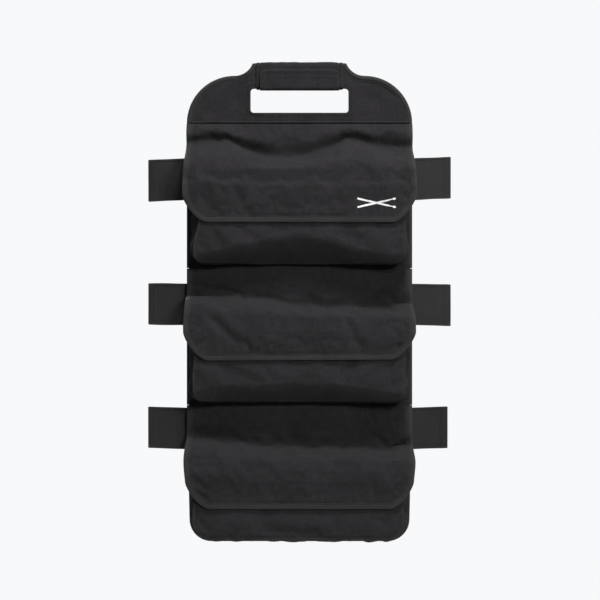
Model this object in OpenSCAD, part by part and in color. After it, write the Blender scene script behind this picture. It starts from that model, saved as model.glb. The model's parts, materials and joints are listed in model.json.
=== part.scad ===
// Hanging stick bag: a padded back panel in three folding sections, a hand slot at the top with a
// padded grip, three gusseted pockets, each closed by a flap, and six hook-and-loop side straps.
// X is the width, Z is up, and the pockets face -Y. The origin is on the underside of the grip.

/* [Panel] */
// Width of the back panel over its edge binding
panel_w = 412; // [404:2:420]
// Thickness of the padded panel
panel_t = 6; // [5.5:0.5:7]
// Grip underside to the sewn line of the upper flap
top_drop = 62; // [60:1:64]
// Height of the upper section below its flap seam
upper_h = 264; // [256:2:272]
// Height of the middle section
middle_h = 250; // [244:2:256]
// Height of the lower section
lower_h = 249; // [244:1:254]
// Corner radius at the bottom of the panel
foot_r = 40; // [36:1:44]
// How much each side of the lower section narrows
foot_taper = 5; // [0:1:6]
// Width of the folded edge binding
bind_w = 11; // [10:0.5:12]

/* [Handle] */
// Length of the hand slot
slot_w = 180; // [170:2:190]
// Height of the hand slot
slot_h = 42; // [38:1:44]
// Grip underside to grip top
grip_h = 51; // [49:1:53]
// Length of the padded grip sleeve
grip_w = 158; // [150:2:160]
// Thickness of the padded grip, front to back
grip_t = 16; // [14:1:18]
// Length of the closing wrap on the grip
wrap_w = 145; // [136:1:146]
// Height of the closing wrap on the grip
wrap_h = 37; // [34:1:40]

/* [Pockets and flaps] */
// Depth of the pockets in front of the panel
pocket_d = 55; // [50:1:58]
// Half width of a pocket front at its mouth
mouth_half = 181; // [178:1:184]
// Half width of a pocket front near its bottom
front_half = 189; // [186:1:190]
// Flap seam to the top edge of the pocket front
mouth_drop = 90; // [88:1:94]
// Width of a flap over its binding
flap_w = 420; // [414:2:424]
// Flap seam to the fold where the flap turns down over the pocket
flap_fold = 84; // [80:1:86]
// Corner radius of a flap
flap_r = 52; // [44:2:56]
// Width of the hook and loop tape that closes a flap
tape_w = 176; // [160:4:190]
// Height of the hook and loop tape that closes a flap
tape_h = 38; // [34:1:38]

/* [Straps] */
// Width of a side strap
strap_w = 76; // [70:1:78]
// Strap end, measured from the middle of the bag
strap_reach = 277; // [270:1:284]

/* [Hidden] */
TIER = ["upper", "middle", "lower"];
SIDE = ["left", "right"];
HAND = [-1, 1];

// Seam heights, from the upper flap's seam to the foot of the panel
seam = [-top_drop, -top_drop - upper_h, -top_drop - upper_h - middle_h,
        -top_drop - upper_h - middle_h - lower_h];
// Flap lengths, seam to lower edge
flap_len = [181, 164, 183];
// Middle of each strap, below the flap seam of its section
strap_drop = [101, 66, 43];

half_w = panel_w / 2;
half_t = panel_t / 2;
fabric = 0.8;
tape_t = 1;
tape_gap = 0.4;
bind_skin = 1;
bind_edge = 1.2;
fold_gap = 1;

shoulder_r = 87;
neck_r = 36;
shoulder_x = half_w - shoulder_r;
shoulder_z = seam[0] + 1;
neck_z = shoulder_z + shoulder_r + neck_r;
arch_top = grip_h - 2;
slot_roof = 3;
slot_corner = 6;
board_inset = 7;
wrap_t = 1.4;
wrap_y = -grip_t / 2 - 2 * fabric - tape_gap;

front_y = -half_t - pocket_d;
flap_skin = 1.8;
flap_bind_t = 3.4;
flap_y0 = -half_t - bind_skin - tape_gap - flap_bind_t / 2;
flap_y1 = front_y - tape_t - tape_gap - tape_t - flap_skin / 2;
flap_flat = 34;
hinge_clear = 1.5;
pocket_inset = bind_w + 0.7;
pocket_r = 35;
hem_h = 14;
hem_t = 2;
tape_rise = 12;

strap_root = half_w + 3.5;
strap_y = [-1, 0.6];
strap_hook_inset = 5;
loop_in = 132;
loop_out = 186;
loop_h = 60;

// ---- Plane geometry -------------------------------------------------------------------------

// Points of an arc of radius r about (cx, cz), from angle a0 to a1
function arc(cx, cz, r, a0, a1, n = 8) =
    [for (i = [0:n]) let (a = a0 + (a1 - a0) * i / n) [cx + r * cos(a), cz + r * sin(a)]];

// A right-hand half outline, closed with its own mirror image
function both_sides(p) = concat(p, [for (i = [len(p) - 1:-1:0]) [-p[i][0], p[i][1]]]);

function unit(v) = v / norm(v);
function across(v) = [-v[1], v[0]];

// A path moved sideways by d, mitred at its corners
function moved(p, d) = [for (i = [0:len(p) - 1])
    let (a = unit(i == 0 ? p[1] - p[0] : p[i] - p[i - 1]),
         b = unit(i == len(p) - 1 ? p[i] - p[i - 1] : p[i + 1] - p[i]),
         n = unit(across(a) + across(b)))
    p[i] + n * d / (n * across(a))];

// A strip of thickness t along a path
function strip(p, t) = let (a = moved(p, t / 2), b = moved(p, -t / 2))
    concat(a, [for (i = [len(b) - 1:-1:0]) b[i]]);

// Outline of a panel section, inset by d at its free edges and carried past its seams by more
function arch_outline(d, more) =
    let (top = arch_top - d,
         turn = 180 + asin((neck_z - top) / (neck_r + d)))
    both_sides(concat(
        [[half_w - d, seam[1] + fold_gap / 2 - more]],
        arc(shoulder_x, shoulder_z, shoulder_r - d, 0, 90, 16),
        arc(shoulder_x, neck_z, neck_r + d, 270, turn, 8)));

function middle_outline(d, more) =
    both_sides([[half_w - d, seam[2] + fold_gap / 2 - more],
                [half_w - d, seam[1] - fold_gap / 2 + more]]);

function foot_outline(d, more) =
    both_sides(concat(
        arc(half_w - foot_taper - foot_r, seam[3] + foot_r, foot_r - d, -90, 0, 8),
        [[half_w - d, seam[2] - fold_gap / 2]],
        more > 0 ? [[half_w - d, seam[2] - fold_gap / 2 + more]] : []));

function section_outline(n, d, more = 0) =
    n == 0 ? arch_outline(d, more) : n == 1 ? middle_outline(d, more) : foot_outline(d, more);

// Outline of a pocket front, inset by d
function pocket_foot(n) = n < 2 ? seam[n + 1] + 38 : seam[3] + 14;
function front_outline(n, d) =
    both_sides(concat(
        arc(front_half - pocket_r, pocket_foot(n) + pocket_r, pocket_r - d, -90, 0, 6),
        [[mouth_half - d, seam[n] - mouth_drop]]));

// Outline where a pocket's gusset is sewn to the panel, inset by d
function gusset_foot(n) = n < 2 ? seam[n + 1] + 4 : seam[3] + bind_w + 1;
function gusset_outline(n, d) =
    let (r = 30, x = half_w - pocket_inset - (n == 2 ? foot_taper : 0))
    both_sides(concat(
        arc(x - r, gusset_foot(n) + r, r - d, -90, 0, 6),
        [[half_w - pocket_inset - d, seam[n] - 30]]));

// Middle line of a flap in the YZ plane: down the panel, out over the mouth, down the front
function flap_top_line(n) =
    let (a = [flap_y0, seam[n]], b = [flap_y0, seam[n] - flap_flat],
         c = [flap_y1, seam[n] - flap_fold])
    [a + unit(b - a) * hinge_clear, b, c - unit(c - b) * hinge_clear];

function flap_front_line(n) =
    [[flap_y1, seam[n] - flap_fold - hinge_clear], [flap_y1, seam[n] - flap_len[n]]];

function flap_outline(n, d) =
    both_sides(concat(
        arc(flap_w / 2 - flap_r, seam[n] - flap_len[n] + flap_r, flap_r - d, -90, 0, 10),
        [[flap_w / 2 - d, seam[n]]]));

// ---- Placing flat shapes --------------------------------------------------------------------

// An XZ outline made into a sheet between two Y planes
module sheet(y0, y1) {
    translate([0, y1, 0]) rotate([90, 0, 0]) linear_extrude(y1 - y0) children();
}

// A YZ outline run along X, between x0 and x1
module along(x0, x1) {
    translate([x0, 0, 0]) rotate([90, 0, 90]) linear_extrude(x1 - x0) children();
}

module block(x, y, z) {
    translate([x[0], y[0], z[0]]) cube([x[1] - x[0], y[1] - y[0], z[1] - z[0]]);
}

module slot_shape(d = 0) {
    r = slot_corner;
    x = slot_w / 2 + d;
    polygon(both_sides(concat(arc(x - r, r - slot_h - d, r, -90, 0, 4),
                              arc(x - r, slot_roof - r + d, r, 0, 90, 4))));
}

// ---- Panel ----------------------------------------------------------------------------------

module section_sheet(n, d, y0, y1, slot_grow = 0) {
    sheet(y0, y1) difference() {
        polygon(section_outline(n, d));
        if (n == 0) slot_shape(slot_grow);
    }
}

module front_fabric(n) {
    color("#2b2a2c") section_sheet(n, bind_edge, -half_t, fabric - half_t);
}

module back_lining(n) {
    color("#252527") section_sheet(n, bind_edge, half_t - fabric, half_t);
}

// Stiff board that holds the arch and the grip in shape
module handle_board() {
    color("#777777") sheet(fabric - half_t, half_t - fabric) difference() {
        polygon(section_outline(0, board_inset));
        slot_shape(board_inset - 2);
        translate([-half_w, seam[1] - 10]) square([panel_w, upper_h + 10]);
    }
}

// Soft pad between the two fabrics of a section
module foam_pad(n) {
    color("#8f8f8f") sheet(fabric - half_t, half_t - fabric) intersection() {
        polygon(section_outline(n, board_inset));
        translate([-half_w, seam[n + 1] + 4]) square([panel_w, seam[n] - seam[n + 1] - 8]);
    }
}

// Folded tape round the free edges of a section
module edge_binding(n) {
    y = half_t + bind_skin;
    color("#3a3a3a") difference() {
        sheet(-y, y) difference() {
            polygon(section_outline(n, 0));
            polygon(section_outline(n, bind_w, 1));
        }
        sheet(-half_t, half_t) polygon(section_outline(n, bind_edge, 1));
    }
}

// Loop tapes on the back, one for each strap of the section
module strap_loops(n) {
    z = seam[n] - strap_drop[n];
    color("#1c1c1c") for (s = HAND)
        block([min(s * loop_in, s * loop_out), max(s * loop_in, s * loop_out)],
              [half_t, half_t + bind_edge], [z - loop_h / 2, z + loop_h / 2]);
}

// ---- Grip -----------------------------------------------------------------------------------

// Cross section of the grip, inset by d
module grip_section(d) {
    r = grip_t / 2 - 1 - d;
    y = grip_t / 2 - d - r;
    polygon(concat(arc(y, d + r, r, -90, 0, 4), arc(y, grip_h - d - r, r, 0, 90, 4),
                   arc(-y, grip_h - d - r, r, 90, 180, 4), arc(-y, d + r, r, 180, 270, 4)));
}

// Foam round the bar above the slot
module handle_padding() {
    x = grip_w / 2 - 1;
    color("#8f8f8f") difference() {
        along(-x, x) grip_section(fabric);
        block([-x - 1, x + 1], [-half_t - bind_skin, half_t + bind_skin], [slot_roof, arch_top]);
    }
}

module handle_sleeve() {
    x = grip_w / 2;
    color("#313033") difference() {
        along(-x, x) grip_section(0);
        along(-x - 1, x + 1) grip_section(fabric);
    }
}

module wrap_tape(y) {
    block([12 - wrap_w / 2, wrap_w / 2 - 12], [y, y + fabric], [10, wrap_h - 4]);
}

module handle_loop_tape() { color("#1c1c1c") wrap_tape(-grip_t / 2 - fabric); }

// Flap that closes round the grip from below
module handle_wrap() {
    color("#313033") block([-wrap_w / 2, wrap_w / 2], [wrap_y - wrap_t, wrap_y], [2, wrap_h]);
}

module handle_wrap_hook_tape() {
    color("#1c1c1c") wrap_tape(wrap_y);
}

// ---- Pockets --------------------------------------------------------------------------------

// Fabric front with a turned hem at the mouth
module pocket_front(n) {
    mouth = seam[n] - mouth_drop;
    color("#2b2a2c") union() {
        sheet(front_y, front_y + fabric) polygon(front_outline(n, 0));
        block([2 - mouth_half, mouth_half - 2], [front_y + (fabric - hem_t) / 2,
              front_y + (fabric + hem_t) / 2], [mouth - hem_h, mouth]);
    }
}

// Space inside the gusset, or its outer skin with d at 0
module pocket_volume(n, d, more) {
    hull() {
        sheet(-half_t - 0.01, -half_t + more) polygon(gusset_outline(n, d));
        sheet(front_y + fabric - more, front_y + fabric + 0.01) polygon(front_outline(n, d));
    }
}

// Fabric strip round the sides and the foot of a pocket, open at the mouth
module pocket_gusset(n) {
    top = seam[n];
    color("#242426") difference() {
        pocket_volume(n, 0, 0);
        pocket_volume(n, fabric, 1);
        along(-half_w, half_w) polygon([[5, top - flap_flat - 5], [5, top], [-90, top],
            [-90, top - mouth_drop - 40], [front_y, top - mouth_drop]]);
        block([-half_w, half_w], [front_y - 5, front_y + fabric], [seam[n + 1] - 10, top]);
        block([-half_w, half_w], [-half_t, 5], [seam[n + 1] - 10, top]);
    }
}

// Closing tape, low on the flap, or behind it on the pocket
module closing_tape(n, y0) {
    z = seam[n] - flap_len[n] + tape_rise;
    color("#1c1c1c") block([-tape_w / 2, tape_w / 2], [y0, y0 + tape_t], [z, z + tape_h]);
}

module pocket_loop_tape(n) { closing_tape(n, front_y - tape_t); }

// ---- Flaps ----------------------------------------------------------------------------------

module flap_top(n) {
    x = flap_w / 2 - bind_edge;
    color("#2b2a2c") along(-x, x) polygon(strip(flap_top_line(n), flap_skin));
}

// Folded tape on the two side edges of the flap's upper half
module flap_top_binding(n) {
    x = flap_w / 2;
    color("#3a3a3a") for (s = HAND) difference() {
        along(s < 0 ? -x : x - bind_w, s < 0 ? bind_w - x : x)
            polygon(strip(flap_top_line(n), flap_bind_t));
        along(bind_edge - x, x - bind_edge)
            polygon(strip(flap_top_line(n), flap_skin));
    }
}

module flap_front(n) {
    y = flap_y1 - flap_skin / 2;
    color("#2b2a2c") sheet(y, y + flap_skin) intersection() {
        polygon(flap_outline(n, bind_edge));
        translate([-flap_w, flap_front_line(n)[1][1]])
            square([2 * flap_w, flap_len[n] - flap_fold - hinge_clear]);
    }
}

// Folded tape round the sides, corners and lower edge of a flap
module flap_front_binding(n) {
    top = flap_front_line(n)[0][1];
    color("#3a3a3a") difference() {
        sheet(flap_y1 - flap_bind_t / 2, flap_y1 + flap_bind_t / 2) difference() {
            polygon(flap_outline(n, 0));
            polygon(flap_outline(n, bind_w));
            translate([-flap_w, top]) square([2 * flap_w, flap_fold + 10]);
        }
        sheet(flap_y1 - flap_skin / 2, flap_y1 + flap_skin / 2) polygon(flap_outline(n, bind_edge));
    }
}

module flap_hook_tape(n) { closing_tape(n, flap_y1 + flap_skin / 2); }

// Plain printed mark on the upper flap: two crossed drum sticks
module flap_print() {
    y = flap_y1 - flap_skin / 2;
    stick = 70;
    lean = 13;
    color("#e6e6e6") translate([138, 0, -210]) sheet(y - 0.3, y)
        for (s = HAND) rotate(s * lean) {
            polygon([[-stick / 2, -1.8], [stick / 2 - 12, -1.6], [stick / 2 - 3, -0.8],
                     [stick / 2 - 3, 0.8], [stick / 2 - 12, 1.6], [-stick / 2, 1.8]]);
            translate([stick / 2 - 2, 0]) circle(r = 2.2, $fn = 24);
        }
}

// ---- Straps ---------------------------------------------------------------------------------

module strap(n, s, y, d) {
    z = seam[n] - strap_drop[n];
    a = s * (strap_root + d);
    b = s * (strap_reach - d);
    block([min(a, b), max(a, b)], y, [z - strap_w / 2 + d, z + strap_w / 2 - d]);
}

module side_strap(n, s) { color("#2f2f30") strap(n, s, strap_y, 0); }
module strap_hook(n, s) {
    color("#1c1c1c") strap(n, s, [strap_y[1], strap_y[1] + tape_t], strap_hook_inset);
}

// ---- Nodes ----------------------------------------------------------------------------------

PER_TIER = ["_front_fabric", "_back_lining", "_foam_pad", "_edge_binding", "_strap_loops",
            "_pocket_front", "_pocket_gusset", "_pocket_loop_tape", "_flap_top",
            "_flap_top_binding", "_flap_front", "_flap_front_binding", "_flap_hook_tape"];

handle_board();
handle_padding();
handle_sleeve();
handle_loop_tape();
handle_wrap();
handle_wrap_hook_tape();
flap_print();
for (n = [0:2]) {
    front_fabric(n);
    back_lining(n);
    foam_pad(n);
    edge_binding(n);
    strap_loops(n);
    pocket_front(n);
    pocket_gusset(n);
    pocket_loop_tape(n);
    flap_top(n);
    flap_top_binding(n);
    flap_front(n);
    flap_front_binding(n);
    flap_hook_tape(n);
    for (k = [0:1]) {
        side_strap(n, HAND[k]);
        strap_hook(n, HAND[k]);
    }
}
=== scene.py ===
import json
import math

import bpy
import numpy as np
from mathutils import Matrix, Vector
from mathutils.bvhtree import BVHTree
from mathutils.geometry import delaunay_2d_cdt


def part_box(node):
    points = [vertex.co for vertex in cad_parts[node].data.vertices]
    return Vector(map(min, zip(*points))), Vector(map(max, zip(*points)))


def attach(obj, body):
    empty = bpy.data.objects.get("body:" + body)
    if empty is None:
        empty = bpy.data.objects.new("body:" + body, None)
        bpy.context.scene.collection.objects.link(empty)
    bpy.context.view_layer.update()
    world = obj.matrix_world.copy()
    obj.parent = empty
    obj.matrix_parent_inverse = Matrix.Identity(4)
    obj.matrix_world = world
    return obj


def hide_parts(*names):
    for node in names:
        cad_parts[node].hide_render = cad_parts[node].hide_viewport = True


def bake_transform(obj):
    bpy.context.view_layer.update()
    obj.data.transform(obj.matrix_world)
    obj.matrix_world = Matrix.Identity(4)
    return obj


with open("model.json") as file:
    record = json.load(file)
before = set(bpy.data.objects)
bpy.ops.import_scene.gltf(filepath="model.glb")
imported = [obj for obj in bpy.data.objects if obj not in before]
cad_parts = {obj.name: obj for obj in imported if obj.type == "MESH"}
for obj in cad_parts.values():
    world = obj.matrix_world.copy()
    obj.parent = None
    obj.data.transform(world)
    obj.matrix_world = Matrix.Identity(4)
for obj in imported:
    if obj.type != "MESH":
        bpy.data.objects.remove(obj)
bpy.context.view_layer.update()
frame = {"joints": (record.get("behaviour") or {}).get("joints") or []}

# Shapes are worked out in millimetres, in the CAD's axes, and scaled as each mesh is made.
MM = 0.001
TIERS = ("upper", "middle", "lower")
SIDES = (("left", -1), ("right", 1))

# ---- Sizes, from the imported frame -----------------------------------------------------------

JOINT_Z = {j["name"]: j["pos_m"][2] / MM for j in frame["joints"] if "pos_m" in j}


def low(node):
    return np.array(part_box(node)[0]) / MM


def high(node):
    return np.array(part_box(node)[1]) / MM


SEAM = [JOINT_Z[f"{t}_flap_lift"] for t in TIERS] + [low("lower_edge_binding")[2]]
HALF = high("upper_edge_binding")[0]
FACE = 3.0  # the panel's faces are this far from its middle
FRONT = low("upper_pocket_front")[1]
FLAP_HALF = high("upper_flap_front_binding")[0]
FLAP_LEN = [SEAM[i] - low(f"{t}_flap_front_binding")[2] for i, t in enumerate(TIERS)]
CORNER_X, CORNER_Z = 42.0, 48.0  # how far a flap's corner cuts in along each edge
CORNER_POWER = 1.4  # 1 is a round corner; above it the corner is flatter
BIND = 11.0  # width of the folded binding
EDGE = 1.2  # cloth stops this far inside the binding's fold
SHOULDER_R = 87.0
NECK_R = 36.0
SHOULDER_X = HALF - SHOULDER_R
SHOULDER_Z = SEAM[0] + 1
NECK_Z = SHOULDER_Z + SHOULDER_R + NECK_R
ARCH_TOP = 49.0
FOOT_R = 40.0
FOOT_TAPER = 5.0
SLOT_HALF, SLOT_LOW, SLOT_HIGH, SLOT_R = 90.0, -42.0, 3.0, 6.0
GRIP_HALF, GRIP_T, GRIP_H = high("handle_sleeve")
MOUTH_HALF = 181.0
FRONT_HALF = 189.0
MOUTH = [SEAM[0] - 90, SEAM[1] - 93, SEAM[2] - 101]
SIDE_TOP = [46, 70, 80]  # drop below the seam at which each pocket's side starts
GUSSET_INSET = 11.7
POCKET_LIMIT = -58.8  # a pocket's front stays behind this where its flap covers it
FLAP_LIMIT = -61.4  # and the flap stays in front of this
LIFTED_LIMIT = -10.4  # the top of a flap stays behind this, to pass under the pocket above
GUSSET_CLEAR = 6.8  # and that pocket's gusset stays this far above the seam
STRAP_ROOT, STRAP_HALF = 206.0, 38.0

# ---- Plane geometry -------------------------------------------------------------------------


def arc(cx, cz, r, a0, a1, n=10):
    a = np.radians(np.linspace(a0, a1, n + 1))
    return np.stack([cx + r * np.cos(a), cz + r * np.sin(a)], 1)


def both_sides(right):
    right = np.vstack(right)
    return np.vstack([right, right[::-1] * [-1, 1]])


def rounded_patch(half, low_z, high_z, r, n):
    """A closed outline, the same on both sides of x = 0, with rounded corners."""
    return both_sides([arc(half - r, low_z + r, r, -90, 0, n), arc(half - r, high_z - r, r, 0, 90, n)])


def ended(loop):
    """A loop with its first point again at its end."""
    return np.vstack([loop, loop[:1]])


def spaced(line, step, closed=False):
    """Points about step apart along a line of any dimension."""
    line = np.asarray(line, float)
    if closed:
        line = ended(line)
    run = np.concatenate([[0], np.cumsum(np.linalg.norm(np.diff(line, axis=0), axis=1))])
    n = max(2, int(round(run[-1] / step)))
    at = np.linspace(0, run[-1], n + 1)
    out = np.stack([np.interp(at, run, line[:, k]) for k in range(line.shape[1])], 1)
    return out[:-1] if closed else out


def corners_kept(loop, step):
    """A closed loop with points at most step apart that keeps its own corners."""
    out = []
    for a, b in zip(loop, np.roll(loop, -1, 0)):
        n = max(1, int(math.ceil(np.linalg.norm(b - a) / step)))
        out += [a + (b - a) * i / n for i in range(n)]
    out = np.array(out)
    keep = np.linalg.norm(out - np.roll(out, 1, 0), axis=1) > 0.2
    return out[keep]


def inside(loop, p):
    hit = np.zeros(len(p), bool)
    for a, b in zip(loop, np.roll(loop, -1, 0)):
        if a[1] == b[1]:
            continue
        cross = (a[1] > p[:, 1]) != (b[1] > p[:, 1])
        x = a[0] + (p[:, 1] - a[1]) * (b[0] - a[0]) / (b[1] - a[1])
        hit ^= cross & (p[:, 0] < x)
    return hit


def near(line, p, closed=False):
    """Distance from each point to a line, and how far along the line the nearest place is."""
    line = np.asarray(line, float)
    if closed:
        line = ended(line)
    best, along, run = np.full(len(p), 1e9), np.zeros(len(p)), 0.0
    for a, b in zip(line[:-1], line[1:]):
        d = b - a
        size = np.linalg.norm(d)
        if size < 1e-9:
            continue
        t = np.clip(((p - a) @ d) / size**2, 0, 1)
        gap = np.linalg.norm(p - a - t[:, None] * d, axis=1)
        closer = gap < best
        best[closer] = gap[closer]
        along[closer] = run + t[closer] * size
        run += size
    return best, along


def cut_plate(outline, step, holes=()):
    """A flat outline filled with even triangles: its 2D points and faces."""
    loops = [corners_kept(np.asarray(o, float), step) for o in (outline, *holes)]
    points, edges = [], []
    for loop in loops:
        first = len(points)
        points += list(loop)
        edges += [(first + i, first + (i + 1) % len(loop)) for i in range(len(loop))]
    lo, hi = loops[0].min(0), loops[0].max(0)
    rows = np.arange(lo[1] + step * 0.4, hi[1], step * 0.87)
    fill = np.array([(x + (step / 2 if k % 2 else 0), z) for k, z in enumerate(rows)
                     for x in np.arange(lo[0] + step * 0.3, hi[0], step)])
    keep = inside(loops[0], fill)
    for h in loops[1:]:
        keep &= ~inside(h, fill)
    for loop in loops:
        keep &= near(loop, fill, True)[0] > 0.55 * step
    points = np.vstack([points, fill[keep]])
    made = delaunay_2d_cdt([Vector(p) for p in points], edges, [], 0, 1e-5)
    p = np.array([tuple(v) for v in made[0]])
    f = np.array([tuple(t) for t in made[2]])
    mid = p[f].mean(1)
    ok = inside(loops[0], mid)
    for h in loops[1:]:
        ok &= ~inside(h, mid)
    f = f[ok]
    a, b, c = p[f[:, 0]], p[f[:, 1]], p[f[:, 2]]
    turn = (b[:, 0] - a[:, 0]) * (c[:, 1] - a[:, 1]) - (b[:, 1] - a[:, 1]) * (c[:, 0] - a[:, 0])
    f = f[np.abs(turn) > 1e-6]
    turn = turn[np.abs(turn) > 1e-6]
    f[turn < 0] = f[turn < 0][:, ::-1]
    used, f = np.unique(f, return_inverse=True)
    return p[used], f.reshape(-1, 3)


# ---- Cloth shapes ---------------------------------------------------------------------------


def waves(x, z, seed, count, short, long, tilt=(0, 180)):
    """Irregular ripples of height about one, the same for the same seed."""
    rng = np.random.default_rng(seed)
    bend_x = x + 9 * np.sin(z / 37 + rng.uniform(0, 6))
    bend_z = z + 9 * np.sin(x / 43 + rng.uniform(0, 6))
    total = 0
    for _ in range(count):
        a, size = math.radians(rng.uniform(*tilt)), rng.uniform(short, long)
        along = bend_x * math.cos(a) + bend_z * math.sin(a)
        total = total + np.sin(along * 2 * math.pi / size + rng.uniform(0, 6.28))
    return total / math.sqrt(count)


def smooth_step(v, a, b):
    t = np.clip((v - a) / (b - a), 0, 1)
    return t * t * (3 - 2 * t)


def soft_line(knots, blur=5.0):
    """A smooth function through rounded-off knots [(at, value), ...]."""
    at, value = np.array(knots, float).T
    s = np.arange(at[0] - 40, at[-1] + 40, 0.5)
    v = np.interp(s, at, value)
    k = np.exp(-0.5 * (np.arange(-60, 61) * 0.5 / blur) ** 2)
    v = np.convolve(np.pad(v, 60, mode="edge"), k / k.sum(), mode="valid")
    return lambda q: np.interp(q, s, v)


def crease(x, z, a, b, depth, width):
    """A valley (depth above 0) or ridge along a to b that fades at both ends."""
    a, b = np.array(a, float), np.array(b, float)
    p = np.stack([x, z], 1)
    d = b - a
    t = ((p - a) @ d) / (d @ d)
    gap = np.linalg.norm(p - a - np.clip(t, 0, 1)[:, None] * d, axis=1)
    fade = smooth_step(t, -0.1, 0.3) * (1 - smooth_step(t, 0.7, 1.1))
    return depth * np.exp(-((gap / width) ** 2)) * fade


# ---- Meshes ---------------------------------------------------------------------------------


def make(name, points, faces, uv, material, sharp=60, wear=None):
    """An object from points in millimetres. uv is the cloth's own flat coordinates, in metres."""
    mesh = bpy.data.meshes.new(name)
    mesh.from_pydata((np.asarray(points) * MM).tolist(), [], [tuple(map(int, f)) for f in faces])
    index = np.zeros(len(mesh.loops), int)
    mesh.loops.foreach_get("vertex_index", index)
    layer = mesh.uv_layers.new(name="cloth")
    layer.data.foreach_set("uv", (np.asarray(uv, float)[index] * MM).ravel())
    worn = mesh.attributes.new("wear", "FLOAT", "POINT")
    values = np.zeros(len(points)) if wear is None else wear
    worn.data.foreach_set("value", np.asarray(values, np.float32))
    mesh.shade_smooth()
    mesh.set_sharp_from_angle(angle=math.radians(sharp))
    mesh.materials.append(material)
    mesh.update()
    piece = bpy.data.objects.new(name, mesh)
    bpy.context.scene.collection.objects.link(piece)
    return piece


def point_normals(points, faces):
    f = np.asarray(faces)
    n = np.cross(points[f[:, 1]] - points[f[:, 0]], points[f[:, 2]] - points[f[:, 0]])
    if f.shape[1] == 4:
        n = n + np.cross(points[f[:, 3]] - points[f[:, 2]], points[f[:, 1]] - points[f[:, 2]])
    total = np.zeros_like(points)
    for k in range(f.shape[1]):
        np.add.at(total, f[:, k], n)
    return total / np.maximum(np.linalg.norm(total, axis=1, keepdims=True), 1e-12)


def dress(piece, body, slot=None, *nodes):
    """Says what a piece rides (None if it is blended) and the nodes it stands for; its material slot is not used."""
    if body:
        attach(piece, body)
    if nodes:
        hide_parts(*nodes)
    return piece


def rim_edges(faces):
    run = {(int(f[i]), int(f[(i + 1) % len(f)])) for f in faces for i in range(len(f))}
    return [(a, b) for a, b in sorted(run) if (b, a) not in run]


def closed_skin(front, back, faces):
    """Points and faces of a solid whose two skins share one set of faces."""
    n = len(front)
    out = [tuple(f) for f in faces] + [tuple(i + n for i in f[::-1]) for f in faces]
    out += [(b, a, a + n, b + n) for a, b in rim_edges(faces)]
    return np.vstack([front, back]), out


def shell(name, points, faces, thick, uv, material, **more):
    """A cloth of that thickness with points as its middle surface."""
    normal = point_normals(points, faces) * thick / 2
    solid, out = closed_skin(points + normal, points - normal, faces)
    if more.get("wear") is not None:
        more["wear"] = np.concatenate([more["wear"]] * 2)
    return make(name, solid, out, np.vstack([uv, uv]), material, **more)


def grid(u, v):
    """Flat arrays of the places in a grid of u by v."""
    return (g.ravel() for g in np.meshgrid(u, v, indexing="ij"))


def grid_faces(nu, nv, wrap=False):
    out = []
    for i in range(nu if wrap else nu - 1):
        j = (i + 1) % nu
        out += [(i * nv + k, j * nv + k, j * nv + k + 1, i * nv + k + 1) for k in range(nv - 1)]
    return np.array(out)


def sweep(name, line, out, up, section, material, closed=False, vary=None, wear=None):
    """A section of (out, up) points carried along a line; vary scales it at each point."""
    line, out, up = (np.asarray(v, float) for v in (line, out, up))
    section = np.asarray(section, float)
    n, m = len(line), len(section)
    size = np.ones((n, 2)) if vary is None else np.asarray(vary)
    points = (line[:, None] + out[:, None] * (section[None, :, :1] * size[:, None, :1])
              + up[:, None] * (section[None, :, 1:] * size[:, None, 1:])).reshape(-1, 3)
    faces = []
    for i in range(n if closed else n - 1):
        j = (i + 1) % n
        faces += [(i * m + k, i * m + (k + 1) % m, j * m + (k + 1) % m, j * m + k) for k in range(m)]
    if not closed:
        faces += [tuple(range(m))[::-1], tuple((n - 1) * m + k for k in range(m))]
    along = np.concatenate([[0], np.cumsum(np.linalg.norm(np.diff(line, axis=0), axis=1))])
    round_it = np.concatenate([[0], np.cumsum(np.linalg.norm(np.diff(section, axis=0), axis=1))])
    uv = np.stack(np.broadcast_arrays(along[:, None], round_it[None]), 2).reshape(-1, 2)
    centre = points.reshape(n, m, 3).mean(1)
    first = points[list(faces[0])]
    normal = np.cross(first[1] - first[0], first[3] - first[0])
    if normal @ (first.mean(0) - centre[0]) < 0:
        faces = [f[::-1] for f in faces]
    worn = None if wear is None else np.tile(wear, n)
    return make(name, points, faces, uv, material, wear=worn)


def tangents(line, closed=False):
    if closed:
        t = np.roll(line, -1, 0) - np.roll(line, 1, 0)
    else:
        t = np.gradient(line, axis=0)
    return t / np.linalg.norm(t, axis=1, keepdims=True)


# A stitch as (place along it, height, thickness); both ends dip into the cloth
STITCH = ((0.0, -0.35, 0.15), (0.14, 0.1, 0.85), (0.5, 0.32, 1), (0.86, 0.1, 0.85), (1.0, -0.35, 0.15))
STITCH_SIZE = 0.42
STITCH_SHARE = 0.68  # of the pitch
STITCH_SIDES = 6


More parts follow.
